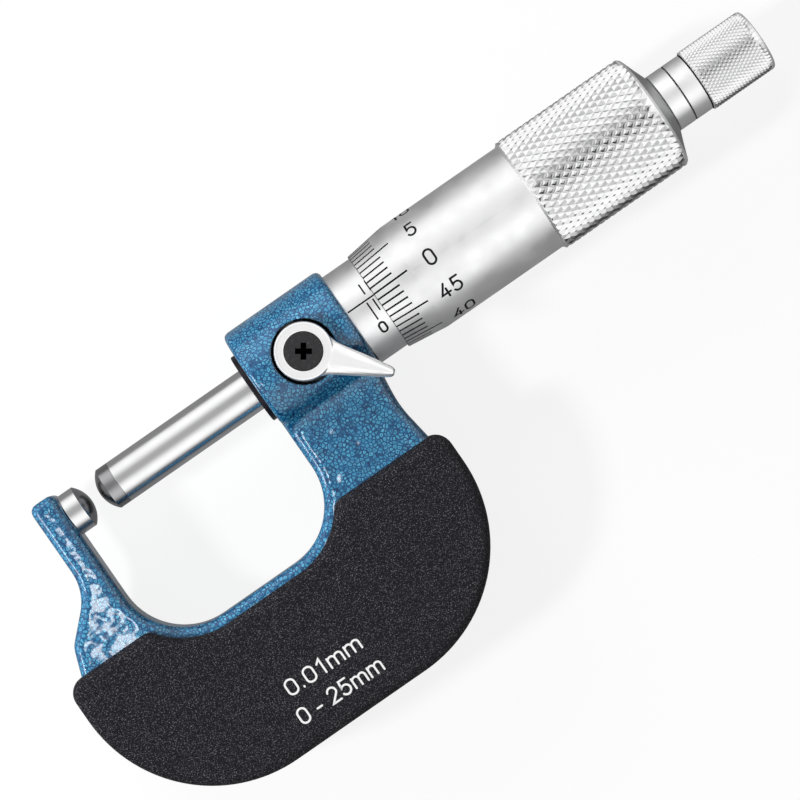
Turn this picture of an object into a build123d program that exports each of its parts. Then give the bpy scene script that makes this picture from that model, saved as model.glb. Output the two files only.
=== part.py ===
from build123d import *
import math
import os

# Tube micrometer, 0-25 mm. Millimetres. X runs along the spindle from the anvil to the ratchet, Y away
# from the bow, Z out of the side with the lock lever. The origin is on the spindle's axis, where the
# anvil leaves the lug.

# Clearances
running_fit = 0.02
sliding_fit = 0.05
plate_fit = 0.1
joint_line = 0.02
overcut = 1.0

# Measuring faces and thread
face_radius = 4.5
spindle_radius = 3.25
anvil_reach = 2.37
anvil_shank = 2.5
shank_inset = 0.2
tip_length = 1.85
reading = 1.5
reading_limit = 25.0
thread_radius = spindle_radius + 0.25
thread_chamfer = 0.3

# Frame
lug_length = 4.2
lug_height = 4.0
lug_rounding = 1.2
arm_straight = 10.0
arm_radius = 7.5
flare_reach = 5.8
flare_drop = 15.7
flare_radius = 3.0
shoulder_drop = 21.4
left_shoulder_radius = 4.0
right_shoulder_radius = 6.0
waist_drop = 14.0
waist_depth = 1.35
waist_radius = 16.0
hub_entry_drop = 6.055
hub_entry_radius = 4.0
throat_width = 32.4
throat_depth = 23.9
throat_corner = 10.0
web_thickness = 8.0
frame_rounding = 1.4
hub_radius = 8.65
hub_length = 16.55
hub_rounding = 0.9
web_corner = 2.0
left_limb = 12.1
right_limb = 16.3
bow_floor = 21.0
bow_corner = 19.4

# Grip plates
plate_wall = 1.9
plate_face = 2.2
plate_top = 19.85
plate_corner = 2.6
plate_rim = 1.45
plate_rounding = 1.5
plate_seam = 0.05
lip_radius = 2.0
peg_radius = 1.5
peg_depth = 2.4
peg_spread = 36.0
peg_drop = 33.0

# Spindle bush and inner sleeve
press_radius = 5.0
bush_flange_radius = press_radius + 0.45
bush_flange_length = 0.8
bush_chamfer = 0.2
bush_length = 5.6
barrel_radius = 6.3
neck_length = 4.0
neck_taper = 0.5
guide_gap = 2.35
relief_radius = thread_radius + 0.3
nut_length = 12.0
neck_drop = 0.5
nut_radius = barrel_radius - neck_drop
slit_width = 0.8
slit_length = 9.0

# Graduated sleeve
sleeve_wall = 1.1
sleeve_radius = barrel_radius + running_fit + sleeve_wall
sleeve_tail = 2.4
sleeve_chamfer = 0.2
zero_line = 3.1

# Adjusting nut
adjuster_length = 5.0
adjuster_inset = 1.5
adjuster_gap = 0.5
adjuster_chamfer = 0.3
notch_width = 1.4

# Thimble
thimble_bore = sleeve_radius + 0.08
adjuster_radius = thimble_bore - 0.4
thimble_edge = 0.25
thimble_wall = 1.05
bevel_length = 6.2
grip_rise = 0.5
grip_chamfer = 0.45
grip_length = 20.65
cone_length = 2.2
cone_edge_length = 0.2
cone_edge_drop = 0.15
cone_shoulder_length = 1.0
cone_shoulder_drop = 1.85
cone_foot_length = 0.5
cone_foot_rise = 0.75
tail_room = 5.05
thimble_end = 10.0

# Spindle's tail, where the thimble is seated
taper_large = thread_radius - 0.15
taper_small = 2.9
taper_length = 5.6
tail_bore = 1.6
tail_bore_depth = 8.0

# Spindle lock
lock_place = 8.5
lock_seat_radius = 4.6
lock_seat_depth = 2.05
lock_bush_radius = 2.6
lock_flange_radius = 3.9
lock_flange = 0.8
lever_gap = 0.2
stem_radius = 1.5
pad_gap = 0.15
pad_length = 0.9
drive_width = 3.2
lever_ring_radius = 4.18
lever_angle = -48.0
lever_length = 13.2
lever_heel = 2.82
lever_root = 2.35
lever_root_radius = 0.6
lever_end = 0.65
lever_end_roundness = 0.95
arm_lift = 0.25
arm_height = 1.3
arm_rounding = 0.45
ring_rise = 0.2
ring_rounding = 0.35
lever_screw_radius = 2.75
lever_screw_head = 1.0
lever_screw_chamfer = 0.15
recess_span = 2.4
recess_width = 0.8
recess_depth = 0.6
recess_turn = 55.2
screw_shank = 0.9
stem_hole_floor = 1.0
screw_end_gap = 1.0

# Ratchet stop
base_radius = 4.55
base_length = 2.7
base_chamfer = 0.12
base_shank = 2.1
tail_plug_gap = 1.0
post_radius = 1.5
post_length = 9.5
post_hole_depth = 4.5
cavity_radius = base_radius - 0.8
cavity_depth = 4.8
tooth_count = 12
tooth_height = 0.45
tooth_inner = 2.4
tooth_outer = cavity_radius - 0.2
tooth_gap = 0.15
key_radius = cavity_radius + 0.3
key_width = 1.2
key_root = 0.5
pawl_thickness = 0.9
spring_wire = 0.22
spring_radius = 2.7
spring_turns = 3.5
spring_end_gap = 0.01
knob_collar = 2.8
collar_chamfer = 0.1
knob_groove = 0.25
groove_depth = 0.2
knob_radius = base_radius + 0.3
knob_length = 13.7
knob_rounding = 0.5
cup_radius = 3.3
ratchet_screw_radius = 2.5
ratchet_screw_head = 1.3
ratchet_screw_length = 4.0
ratchet_screw_chamfer = 0.2
driver_slot = 0.7
driver_slot_depth = 0.6

# Places along the spindle that follow from the sizes above
face_height = face_radius - math.sqrt(face_radius**2 - spindle_radius**2)
spindle_front = anvil_reach + 2 * face_height + reading
spindle_start = spindle_front + tip_length
hub_end = throat_width + hub_length
bush_start = throat_width - bush_flange_length
inner_start = throat_width + bush_length + plate_fit
lock_x = throat_width + lock_place
zero_x = hub_end + zero_line
sleeve_end = zero_x + reading_limit + sleeve_tail
adjuster_start = sleeve_end + adjuster_gap
nut_end = adjuster_start + adjuster_length + adjuster_inset
nut_start = nut_end - nut_length
guide_end = nut_start - reading_limit - guide_gap
thread_start = nut_start - (reading_limit - reading)
thread_end = nut_end + reading
thimble_front = zero_x + reading
seat_place = nut_end + reading + tail_room
tail_end = seat_place + taper_length
thimble_back = seat_place + thimble_end
base_end = thimble_back + base_length
post_end = base_end + post_length
knob_start = base_end + sliding_fit
knob_end = base_end + knob_length
pawl_start = base_end + tooth_height + sliding_fit
cavity_end = knob_start + cavity_depth

# Heights and widths that follow
face_z = web_thickness / 2
plate_z = face_z + plate_face
bow_left = -left_limb
bow_right = throat_width + right_limb
bow_centre = (bow_left + bow_right) / 2
bow_bottom = throat_depth + bow_floor
pad_floor = spindle_radius + pad_gap
stem_floor = pad_floor + pad_length + sliding_fit
seat_floor = hub_radius - lock_seat_depth
lever_floor = seat_floor + lock_flange + lever_gap
arm_floor = hub_radius + arm_lift
lever_top = arm_floor + arm_height + ring_rise
head_floor = lever_top - lever_screw_head
thimble_radius = thimble_bore + thimble_wall
grip_radius = thimble_radius + grip_rise

standing = (Align.CENTER, Align.CENTER, Align.MIN)


def turned(*points):
    """A solid of revolution about the spindle's axis, from (x, radius) points of half its section."""
    return revolve(make_face(Polyline(*points, close=True)), Axis.X)


def rod(start, end, radius):
    """A cylinder on the spindle's axis from start to end."""
    return Pos(start, 0, 0) * Rot(0, 90, 0) * Cylinder(radius, end - start, align=standing)


def post(x, low, high, radius):
    """A cylinder along Z on the lock's axis or on a peg's axis at x."""
    return Pos(x, 0, low) * Cylinder(radius, high - low, align=standing)


def corners(*rows):
    """A closed face from (x, y, corner radius) rows."""
    line = FilletPolyline(*[(x, y) for x, y, _ in rows], radius=[r for _, _, r in rows], close=True)
    return make_face(line)


def frame_face():
    """The frame's flat outline: lug, left arm, bow, right arm and the web under the hub."""
    waist = hub_end - waist_depth
    under_hub = hub_end - hub_rounding / 2
    return corners(
        (-lug_length, lug_height, lug_rounding),
        (-lug_length, -arm_straight, arm_radius),
        (-lug_length - flare_reach, -flare_drop, flare_radius),
        (bow_left, -shoulder_drop, left_shoulder_radius),
        (bow_left, -bow_bottom, bow_corner),
        (bow_right, -bow_bottom, bow_corner),
        (bow_right, -shoulder_drop, right_shoulder_radius),
        (waist, -waist_drop, waist_radius),
        (under_hub, -hub_entry_drop, hub_entry_radius),
        (under_hub, 0, web_corner),
        (throat_width, 0, web_corner),
        (throat_width, -throat_depth, throat_corner),
        (0, -throat_depth, throat_corner),
        (0, lug_height, lug_rounding),
    )


def both_faces(solid):
    """The edges of a flat solid's top and bottom faces."""
    levels = solid.edges().group_by(Axis.Z)
    return levels[0] + levels[-1]


def peg_places():
    return [(bow_centre + side * peg_spread / 2, -peg_drop) for side in (-1, 1)]


def make_frame():
    web = extrude(frame_face(), web_thickness / 2, both=True)
    web = fillet(both_faces(web), frame_rounding)
    hub = rod(throat_width, hub_end, hub_radius)
    hub = fillet(hub.edges().filter_by(GeomType.CIRCLE), hub_rounding)
    frame = web + hub
    frame -= rod(throat_width - overcut, hub_end + overcut, press_radius)
    frame -= rod(-lug_length - overcut, overcut, anvil_shank)
    frame -= post(lock_x, seat_floor, hub_radius + overcut, lock_seat_radius)
    frame -= post(lock_x, 0, seat_floor + overcut, lock_bush_radius)
    depth = peg_depth + plate_fit
    for x, y in peg_places():
        for side in (-1, 1):
            hole = Cylinder(peg_radius + sliding_fit, depth)
            frame -= Pos(x, y, side * (face_z - depth / 2)) * hole
    return frame


def plate_outline():
    """The grip plate's outline: the bow's D shape, with a dip that leaves a rim of the throat bare."""
    left = bow_left - plate_wall
    right = bow_right + plate_wall
    bottom = bow_bottom + plate_wall
    dee = corners(
        (left, -plate_top, plate_corner),
        (left, -bottom, bow_corner + plate_wall),
        (right, -bottom, bow_corner + plate_wall),
        (right, -plate_top, plate_corner),
    )
    dip_radius = throat_corner + plate_rim
    dip = corners(
        (-plate_rim, 0, 0),
        (-plate_rim, -throat_depth - plate_rim, dip_radius),
        (throat_width + plate_rim, -throat_depth - plate_rim, dip_radius),
        (throat_width + plate_rim, 0, 0),
    )
    plate = dee - dip
    reach = throat_width / 2 + plate_rim + overcut
    top = plate.vertices().group_by(Axis.Y)[-1]
    lips = [v for v in top if abs(v.X - throat_width / 2) < reach]
    return fillet(lips, lip_radius)


def make_front_plate():
    plate = Pos(0, 0, plate_seam) * extrude(plate_outline(), plate_z - plate_seam)
    plate = fillet(plate.edges().group_by(Axis.Z)[-1], plate_rounding)
    plate -= extrude(offset(frame_face(), plate_fit), face_z)
    for x, y in peg_places():
        plate += Pos(x, y, face_z - peg_depth) * Cylinder(peg_radius, peg_depth, align=standing)
    return plate


def make_back_plate():
    return mirror(make_front_plate(), Plane.XY)


def make_anvil():
    return turned(
        (-lug_length + shank_inset, 0),
        (-lug_length + shank_inset, anvil_shank),
        (0, anvil_shank),
        (0, spindle_radius),
        (anvil_reach, spindle_radius),
        (anvil_reach, 0),
    )


def ball_face(base, direction):
    """A carbide cap with a spherical face, whose flat base is at x = base."""
    pole = base + direction * face_height
    half = spindle_radius / 2
    middle = pole - direction * (face_radius - math.sqrt(face_radius**2 - half**2))
    arc = ThreePointArc((base, spindle_radius), (middle, half), (pole, 0))
    rest = Polyline((pole, 0), (base, 0), (base, spindle_radius))
    return revolve(make_face(arc + rest), Axis.X)


def make_anvil_tip():
    return ball_face(anvil_reach, 1)


def make_spindle_tip():
    return ball_face(spindle_front, -1) + rod(spindle_front, spindle_start - joint_line, spindle_radius)


def make_spindle():
    spindle = turned(
        (spindle_start, 0),
        (spindle_start, spindle_radius),
        (thread_start, spindle_radius),
        (thread_start + thread_chamfer, thread_radius),
        (thread_end, thread_radius),
        (thread_end + thread_chamfer, taper_large),
        (seat_place, taper_large),
        (tail_end, taper_small),
        (tail_end, 0),
    )
    return spindle - rod(tail_end - tail_bore_depth, tail_end + 1, tail_bore)


def make_spindle_bush():
    return turned(
        (bush_start, spindle_radius + running_fit),
        (bush_start, bush_flange_radius - bush_chamfer),
        (bush_start + bush_chamfer, bush_flange_radius),
        (throat_width, bush_flange_radius),
        (throat_width, press_radius),
        (throat_width + bush_length, press_radius),
        (throat_width + bush_length, spindle_radius + running_fit),
    )


def make_inner_sleeve():
    guide = spindle_radius + running_fit
    barrel = turned(
        (inner_start, guide),
        (inner_start, press_radius),
        (hub_end, press_radius),
        (hub_end, barrel_radius),
        (sleeve_end - neck_length, barrel_radius),
        (sleeve_end - neck_length + neck_taper, nut_radius),
        (nut_end, nut_radius),
        (nut_end, thread_radius + running_fit),
        (nut_start, thread_radius + running_fit),
        (nut_start - thread_chamfer, relief_radius),
        (guide_end, relief_radius),
        (guide_end, guide),
    )
    barrel -= post(lock_x, 0, press_radius + overcut, stem_radius + sliding_fit)
    slit = Box(slit_length + overcut, slit_width, 4 * nut_radius, align=(Align.MIN, Align.CENTER, Align.CENTER))
    for turn in (0, 90):
        barrel -= Rot(turn, 0, 0) * Pos(nut_end - slit_length, 0, 0) * slit
    return barrel


def make_adjusting_nut():
    end = adjuster_start + adjuster_length
    ring = rod(adjuster_start, end, adjuster_radius)
    ring = chamfer(ring.edges().filter_by(GeomType.CIRCLE), adjuster_chamfer)
    ring -= rod(adjuster_start - overcut, end + overcut, nut_radius)
    for turn in (0, 90, 180, 270):
        ring -= Rot(turn, 0, 0) * Pos(end, 0, adjuster_radius) * Box(notch_width, notch_width, notch_width)
    return ring


def make_sleeve():
    sleeve = rod(hub_end, sleeve_end, sleeve_radius)
    sleeve = chamfer(sleeve.edges().filter_by(GeomType.CIRCLE).sort_by(Axis.X)[-1], sleeve_chamfer)
    return sleeve - rod(hub_end - overcut, sleeve_end + overcut, barrel_radius + running_fit)


def make_thimble():
    bevel_end = thimble_front + bevel_length
    grip_end = thimble_back - cone_length
    grip_start = grip_end - grip_length
    return turned(
        (thimble_front, thimble_bore),
        (thimble_front, thimble_bore + thimble_edge),
        (bevel_end, thimble_radius),
        (grip_start - grip_chamfer, thimble_radius),
        (grip_start, grip_radius),
        (grip_end, grip_radius),
        (grip_end + cone_edge_length, grip_radius - cone_edge_drop),
        (grip_end + cone_shoulder_length, grip_radius - cone_shoulder_drop),
        (thimble_back - cone_foot_length, base_radius + cone_foot_rise),
        (thimble_back, base_radius),
        (thimble_back, base_shank + sliding_fit),
        (tail_end + sliding_fit, base_shank + sliding_fit),
        (tail_end + sliding_fit, taper_small + joint_line),
        (seat_place, taper_large + joint_line),
        (seat_place, thimble_bore),
    )


def make_lock_bush():
    bush = post(lock_x, 0, seat_floor, lock_bush_radius)
    bush -= rod(lock_x - press_radius, lock_x + press_radius, press_radius)
    bush += post(lock_x, seat_floor, seat_floor + lock_flange, lock_flange_radius)
    return bush - post(lock_x, 0, lever_floor, stem_radius + running_fit)


def make_lock_pad():
    return post(lock_x, pad_floor, pad_floor + pad_length, stem_radius)


def make_lock_stem():
    stem = post(lock_x, stem_floor, lever_floor, stem_radius)
    drive = Box(drive_width, drive_width, head_floor - lever_floor - sliding_fit, align=standing)
    stem += Pos(lock_x, 0, lever_floor) * Rot(0, 0, lever_angle) * drive
    return stem - post(lock_x, stem_floor + stem_hole_floor, head_floor + overcut, screw_shank)


def make_lever_screw():
    screw = post(lock_x, head_floor, lever_top, lever_screw_radius)
    screw = chamfer(screw.edges().filter_by(GeomType.CIRCLE).sort_by(Axis.Z)[-1], lever_screw_chamfer)
    for turn in (recess_turn, recess_turn + 90):
        slot = Box(recess_span, recess_width, recess_depth)
        screw -= Pos(lock_x, 0, lever_top - recess_depth / 2) * Rot(0, 0, turn) * slot
    shank_end = stem_floor + stem_hole_floor + screw_end_gap
    return screw + post(lock_x, shank_end, head_floor, screw_shank)


def make_lock_lever():
    ring = post(lock_x, lever_floor, lever_top, lever_ring_radius)
    ring = fillet(ring.edges().filter_by(GeomType.CIRCLE).sort_by(Axis.Z)[-1], ring_rounding)
    inside = lever_ring_radius / 4
    end_radius = lever_end * lever_end_roundness
    arm = corners(
        (inside, lever_heel, 0),
        (lever_ring_radius, lever_root, lever_root_radius),
        (lever_length, lever_end, end_radius),
        (lever_length, -lever_end, end_radius),
        (lever_ring_radius, -lever_root, lever_root_radius),
        (inside, -lever_heel, 0),
    )
    arm = extrude(arm, arm_height)
    outer = arm.edges().group_by(Axis.Z)[-1].filter_by_position(Axis.X, lever_ring_radius / 2, lever_length)
    arm = fillet(outer, arm_rounding)
    lever = ring + Pos(lock_x, 0, arm_floor) * Rot(0, 0, lever_angle) * arm
    lever -= post(lock_x, head_floor, lever_top + overcut, lever_screw_radius + sliding_fit)
    width = drive_width + 2 * running_fit
    socket = Box(width, width, head_floor - lever_floor + 2 * overcut, align=standing)
    return lever - Pos(lock_x, 0, lever_floor - overcut) * Rot(0, 0, lever_angle) * socket


def ramp_teeth(mating):
    """A ring of ratchet teeth on the base's face, or with mating the teeth that lie against them."""
    width = 2 * math.pi / tooth_count * tooth_inner - tooth_gap
    section = [(0, 0), (-width, 0), (-width, tooth_height)]
    if mating:
        low, high = sliding_fit, tooth_height + sliding_fit
        section = [(0, low), (0, high), (-width, high)]
    tooth = extrude(make_face(Polyline(*section, close=True)), tooth_outer - tooth_inner, dir=(0, 0, 1))
    # the section runs around the ring and along the spindle, and its depth outwards
    place = Plane(origin=(base_end, -width / 2, tooth_inner), x_dir=(0, -1, 0), z_dir=(0, 0, 1))
    tooth = place * tooth
    return [Rot(360 / tooth_count * i, 0, 0) * tooth for i in range(tooth_count)]


def make_ratchet_base():
    base = rod(thimble_back, base_end, base_radius)
    base = chamfer(base.edges().filter_by(GeomType.CIRCLE), base_chamfer)
    base += rod(tail_end + sliding_fit, thimble_back, base_shank)
    plug_start = tail_end - tail_bore_depth + tail_plug_gap
    base += rod(plug_start, tail_end + overcut, tail_bore - joint_line)
    base += rod(base_end, post_end, post_radius)
    base -= rod(post_end - post_hole_depth, post_end + overcut, screw_shank)
    for tooth in ramp_teeth(False):
        base += tooth
    return base


def pawl_keys(start, length, width, radius):
    """Two keys on opposite sides of the spindle's axis, or the slots they slide in."""
    inside = post_radius + key_root
    key = Box(length, width, radius - inside, align=(Align.MIN, Align.CENTER, Align.MIN))
    return [Rot(turn, 0, 0) * Pos(start, 0, inside) * key for turn in (0, 180)]


def make_ratchet_pawl():
    pawl = rod(pawl_start, pawl_start + pawl_thickness, cavity_radius - sliding_fit)
    for key in pawl_keys(pawl_start, pawl_thickness, key_width - 2 * sliding_fit, key_radius - sliding_fit):
        pawl += key
    pawl -= rod(pawl_start - overcut, pawl_start + pawl_thickness + overcut, post_radius + sliding_fit)
    for tooth in ramp_teeth(True):
        pawl += tooth
    return pawl


def make_ratchet_spring():
    start = pawl_start + pawl_thickness + spring_wire + spring_end_gap
    length = cavity_end - spring_wire - spring_end_gap - start
    path = Helix(length / spring_turns, length, spring_radius)
    wire = Plane(path @ 0, z_dir=path % 0) * Circle(spring_wire)
    return Pos(start, 0, 0) * Rot(0, 90, 0) * sweep(wire, path, is_frenet=True)


def make_ratchet_knob():
    neck_end = knob_start + knob_collar
    grip_start = neck_end + knob_groove
    floor = post_end - sliding_fit
    knob = turned(
        (knob_start, cavity_radius),
        (knob_start, base_radius - collar_chamfer),
        (knob_start + collar_chamfer, base_radius),
        (neck_end, base_radius),
        (neck_end, base_radius - groove_depth),
        (grip_start, base_radius - groove_depth),
        (grip_start, knob_radius),
        (knob_end - knob_rounding, knob_radius),
        (knob_end, knob_radius - knob_rounding),
        (knob_end, cup_radius),
        (floor, cup_radius),
        (floor, post_radius + sliding_fit),
        (cavity_end, post_radius + sliding_fit),
        (cavity_end, cavity_radius),
    )
    for slot in pawl_keys(knob_start, cavity_depth, key_width, key_radius + sliding_fit):
        knob -= slot
    return knob


def make_ratchet_screw():
    head_end = post_end + ratchet_screw_head
    head = rod(post_end, head_end, ratchet_screw_radius)
    head = chamfer(head.edges().filter_by(GeomType.CIRCLE).sort_by(Axis.X)[-1], ratchet_screw_chamfer)
    head -= Pos(head_end, 0, 0) * Box(2 * driver_slot_depth, 3 * ratchet_screw_radius, driver_slot)
    return head + rod(post_end - ratchet_screw_length, post_end, screw_shank)


pieces = {
    "frame": make_frame,
    "front_plate": make_front_plate,
    "back_plate": make_back_plate,
    "anvil": make_anvil,
    "anvil_tip": make_anvil_tip,
    "spindle_bush": make_spindle_bush,
    "inner_sleeve": make_inner_sleeve,
    "adjusting_nut": make_adjusting_nut,
    "sleeve": make_sleeve,
    "lock_bush": make_lock_bush,
    "lock_stem": make_lock_stem,
    "lock_lever": make_lock_lever,
    "lever_screw": make_lever_screw,
    "lock_pad": make_lock_pad,
    "spindle": make_spindle,
    "spindle_tip": make_spindle_tip,
    "thimble": make_thimble,
    "ratchet_base": make_ratchet_base,
    "ratchet_knob": make_ratchet_knob,
    "ratchet_pawl": make_ratchet_pawl,
    "ratchet_spring": make_ratchet_spring,
    "ratchet_screw": make_ratchet_screw,
}

os.makedirs("parts", exist_ok=True)
for name, make in pieces.items():
    export_step(make(), f"parts/{name}.step")
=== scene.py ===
import math

import bmesh
import bpy
import numpy as np
from mathutils import Matrix, Vector


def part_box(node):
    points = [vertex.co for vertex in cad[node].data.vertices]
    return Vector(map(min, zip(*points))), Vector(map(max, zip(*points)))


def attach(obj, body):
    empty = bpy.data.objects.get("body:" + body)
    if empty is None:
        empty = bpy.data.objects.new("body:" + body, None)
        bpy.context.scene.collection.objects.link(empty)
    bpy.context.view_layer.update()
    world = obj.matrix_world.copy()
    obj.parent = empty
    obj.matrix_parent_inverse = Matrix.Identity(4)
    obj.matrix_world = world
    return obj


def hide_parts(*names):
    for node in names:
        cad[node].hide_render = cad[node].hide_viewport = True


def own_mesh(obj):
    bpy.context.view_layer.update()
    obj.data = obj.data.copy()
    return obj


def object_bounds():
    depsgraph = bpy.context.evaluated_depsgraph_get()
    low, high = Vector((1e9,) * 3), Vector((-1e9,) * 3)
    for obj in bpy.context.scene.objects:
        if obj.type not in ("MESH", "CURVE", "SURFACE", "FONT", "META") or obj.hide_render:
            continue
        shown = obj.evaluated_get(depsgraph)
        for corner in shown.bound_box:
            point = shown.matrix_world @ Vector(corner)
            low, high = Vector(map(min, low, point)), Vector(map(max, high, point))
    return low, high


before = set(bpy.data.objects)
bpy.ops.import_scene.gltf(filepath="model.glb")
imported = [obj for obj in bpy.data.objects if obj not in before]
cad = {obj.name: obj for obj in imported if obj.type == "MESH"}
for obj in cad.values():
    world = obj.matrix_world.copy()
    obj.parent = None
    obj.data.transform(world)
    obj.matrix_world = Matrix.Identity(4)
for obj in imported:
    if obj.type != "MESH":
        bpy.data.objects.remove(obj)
solid_low, solid_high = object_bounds()
mm = 0.001

# Studio
# A pale table under the micrometer in a white room that is darker overhead and low down, seen through a
# long lens from straight above with the spindle turned across the picture. Two lamps light the paint and
# the shadow. Two small ones show only in the frame's wet enamel, and the lever has one of its own.
lens_height = 480.0
view_x, view_y = 48.1, -13.3
view_turn = -34.765
focal_length = 151.2
sensor = 36.0
table_size = 900.0
table_white = (0.93, 0.93, 0.93)
table_glow = 0.86
# the table as the metal shows it: darker, and mostly without the micrometer's shadow
mirror_grey = (0.26, 0.26, 0.265)
mirror_glow, mirror_tone = 0.7, 0.28


def new_object(name, data):
    """A new object in the scene."""
    made = bpy.data.objects.new(name, data)
    bpy.context.scene.collection.objects.link(made)
    return made


camera = bpy.data.cameras.new("camera")
camera.lens = focal_length
camera.sensor_width = sensor
camera_stand = new_object("camera", camera)
camera_stand.location = (view_x * mm, view_y * mm, lens_height * mm)
camera_stand.rotation_euler = (0, 0, math.radians(view_turn))
bpy.context.scene.camera = camera_stand
bpy.context.scene.view_settings.view_transform = "Standard"


class Tree:
    """The nodes of a material or of the room, with short ways to add the few kinds that they need."""

    def __init__(self, owner):
        self.nodes, self.links = owner.node_tree.nodes, owner.node_tree.links
        self.place = self.add("TexCoord").outputs

    def put(self, value, socket):
        """Links an output to a socket, or sets the socket's own value."""
        if isinstance(value, bpy.types.NodeSocket):
            self.links.new(value, socket)
        else:
            socket.default_value = (*value, 1) if socket.type == "RGBA" else value

    def add(self, kind, inputs=None, **settings):
        node = self.nodes.new("ShaderNode" + kind)
        for name, value in settings.items():
            setattr(node, name, value)
        for name, value in (inputs or {}).items():
            self.put(value, node.inputs[name])
        return node

    def noise(self, scale, detail=2.0, vector=None):
        values = {"Vector": vector or self.place["Object"], "Scale": scale, "Detail": detail}
        return self.add("TexNoise", values).outputs["Fac"]

    def calc(self, operation, first, second):
        return self.add("Math", {0: first, 1: second}, operation=operation).outputs["Value"]

    def remap(self, source, low, high, new_low, new_high):
        values = {"Value": source, "From Min": low, "From Max": high, "To Min": new_low, "To Max": new_high}
        return self.add("MapRange", values).outputs["Result"]

    def mix(self, factor, first, second, kind="RGBA"):
        values = {"Factor": factor, "A": first, "B": second}
        return self.add("Mix", values, data_type=kind).outputs["Result"]

    def bump(self, height, strength, distance, under=None):
        values = {"Height": height, "Strength": strength, "Distance": distance}
        if under is not None:
            values["Normal"] = under
        return self.add("Bump", values).outputs["Normal"]

    def ramp(self, source, stops):
        """A smooth run of colours over places from 0 to 1."""
        node = self.add("ValToRGB", {"Fac": source})
        node.color_ramp.interpolation = "B_SPLINE"
        for i, (place, colour) in enumerate(stops):
            stop = node.color_ramp.elements[i] if i < 2 else node.color_ramp.elements.new(place)
            stop.position = place
            stop.color = (*colour, 1)
        return node.outputs["Color"]


def new_finish(name, colour, roughness, metallic=0.0):
    """A material with its tree and its shader, and the plain values on the shader's own sockets."""
    material = bpy.data.materials.new(name)
    material.use_nodes = True
    tree = Tree(material)
    shader = tree.nodes["Principled BSDF"].inputs
    for socket, value in (("Base Color", colour), ("Roughness", roughness), ("Metallic", metallic)):
        tree.put(value, shader[socket])
    return material, tree, shader


table_material, tree, shader = new_finish("table_white", table_white, 0.9)
rays = tree.add("LightPath").outputs
tree.put(tree.mix(rays["Is Glossy Ray"], table_white, mirror_grey), shader["Base Color"])
share = tree.calc("ADD", tree.calc("MULTIPLY", rays["Is Camera Ray"], table_glow),
                  tree.calc("MULTIPLY", rays["Is Glossy Ray"], mirror_glow))
glow = tree.add("Emission", {"Strength": tree.remap(rays["Is Glossy Ray"], 0, 1, 1, mirror_tone)})
seen = tree.add("MixShader", {"Fac": share, 1: tree.nodes["Principled BSDF"].outputs["BSDF"],
                              2: glow.outputs["Emission"]})
tree.put(seen.outputs["Shader"], tree.nodes["Material Output"].inputs["Surface"])

table_mesh = bpy.data.meshes.new("table")
half = table_size / 2
corners = [(view_x + sx * half, view_y + sy * half) for sx, sy in ((-1, -1), (1, -1), (1, 1), (-1, 1))]
table_mesh.from_pydata([(x * mm, y * mm, solid_low.z) for x, y in corners], [], [(0, 1, 2, 3)])
table_mesh.materials.append(table_material)
table = new_object("table", table_mesh)

room = bpy.data.worlds.new("room")
bpy.context.scene.world = room
room.use_nodes = True
tree = Tree(room)
rays = tree.add("LightPath").outputs
axes = tree.add("SeparateXYZ", {"Vector": tree.place["Generated"]}).outputs
# how bright the room is by height, from below the table's level to straight overhead, as shares of its
# brightest, and how bright that is for paint and for metal
room_floor = -0.3
room_tones = ((-0.3, 0.015), (-0.12, 0.06), (0.0, 0.24), (0.17, 0.60), (0.39, 0.90), (0.60, 1.0),
              (0.755, 0.95), (0.875, 0.80), (0.956, 0.54), (0.99, 0.36))
room_peak = 1.42
room_for_paint, room_for_metal = 0.23, 1.0
# how much higher up a wall seems to be behind the micrometer, past its ends and past the anvil
behind_lift, ends_lift, left_lift = 0.12, 0.08, -0.15
# and in the room's corners, by side: a dark one low down in front, which shows in the knurls' flanks
corner_lift, corner_dip, corner_side = 0.6, 0.35, -0.4
corner_low, corner_high, corner_left = 0.15, 0.5, 0.3
high = axes["Z"]
for axis, lift in (("Y", behind_lift), ("X", left_lift)):
    high = tree.calc("ADD", high, tree.calc("MULTIPLY", axes[axis], lift))
squared = tree.calc("MULTIPLY", axes["X"], axes["X"])
high = tree.calc("ADD", high, tree.calc("MULTIPLY", squared, ends_lift))
sideways = tree.calc("ADD", tree.calc("ABSOLUTE", axes["X"], 0),
                     tree.calc("MULTIPLY", axes["X"], corner_side))
behind = tree.calc("SUBTRACT", tree.calc("MULTIPLY", axes["Y"], corner_lift),
                   tree.calc("MULTIPLY", tree.calc("ABSOLUTE", axes["Y"], 0), corner_dip))
behind = tree.calc("MULTIPLY", behind, tree.remap(axes["Z"], corner_low, corner_high, 1, corner_left))
high = tree.calc("ADD", high, tree.calc("MULTIPLY", sideways, behind))
stops = [((height - room_floor) / (1 - room_floor), (tone, tone, tone)) for height, tone in room_tones]
walls = tree.ramp(tree.remap(high, room_floor, 1, 0, 1), stops)
gain = tree.remap(rays["Is Glossy Ray"], 0, 1, room_for_paint * room_peak, room_for_metal * room_peak)
strength = tree.mix(rays["Is Camera Ray"], tree.calc("MULTIPLY", walls, gain), 1.0, "FLOAT")
tree.put(strength, tree.nodes["Background"].inputs["Strength"])
tree.put((1, 1, 1), tree.nodes["Background"].inputs["Color"])


def soft_lamp(name, place, size, power, in_metal=False):
    """A square lamp at a place in millimetres that faces the middle of the picture."""
    lamp = bpy.data.lights.new(name, "AREA")
    lamp.size = size * mm
    lamp.energy = power
    stand = new_object(name, lamp)
    stand.location = Vector(place) * mm
    aim = Vector((view_x * mm, view_y * mm, 0)) - stand.location
    stand.rotation_euler = aim.to_track_quat("-Z", "Y").to_euler()
    stand.visible_glossy = in_metal
    return stand


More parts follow.
